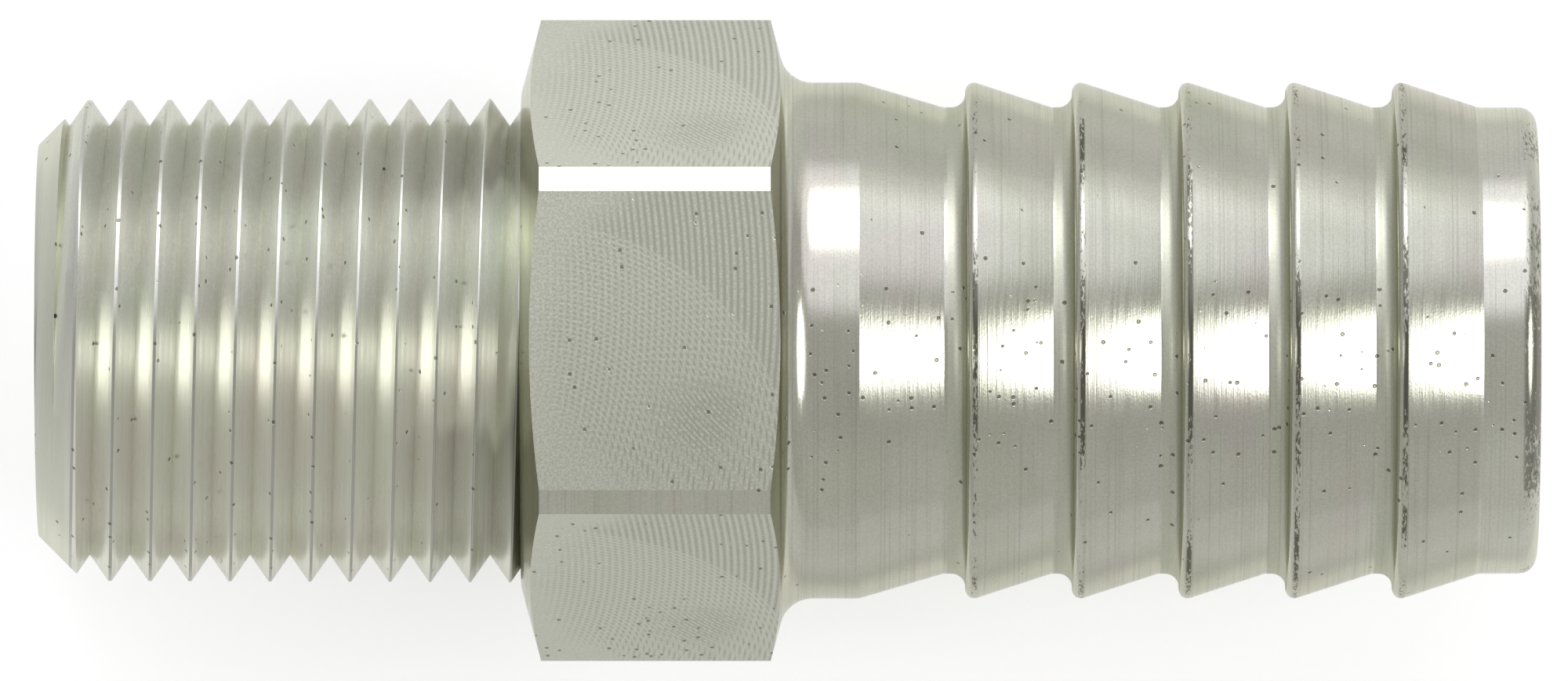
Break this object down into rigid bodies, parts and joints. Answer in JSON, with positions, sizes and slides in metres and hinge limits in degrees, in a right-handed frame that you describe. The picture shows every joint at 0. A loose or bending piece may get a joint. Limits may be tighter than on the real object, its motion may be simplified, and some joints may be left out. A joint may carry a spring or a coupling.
{
  "type": "hose barb tail",
  "caption": "Turned stainless steel hose tail with a male pipe thread at one end, a spanner hexagon and collar in the middle, and a ribbed barbed spigot for a push-on hose.",
  "frame": {"origin": "on the bore's axis, at the hexagon's end face on the thread side", "axes": "+X along the bore towards the hose end, +Z square out of a hexagon flat, upwards, with the opposite flat below; hexagon corners at +Y and -Y"},
  "size_m": [0.05, 0.0214, 0.019],
  "materials": {
    "stainless_steel": "turned and milled bare stainless steel, fine tool lines"
  },
  "bodies": {
    "root": {"hose_barb_tail": "stainless_steel"}
  },
  "joints": []
}
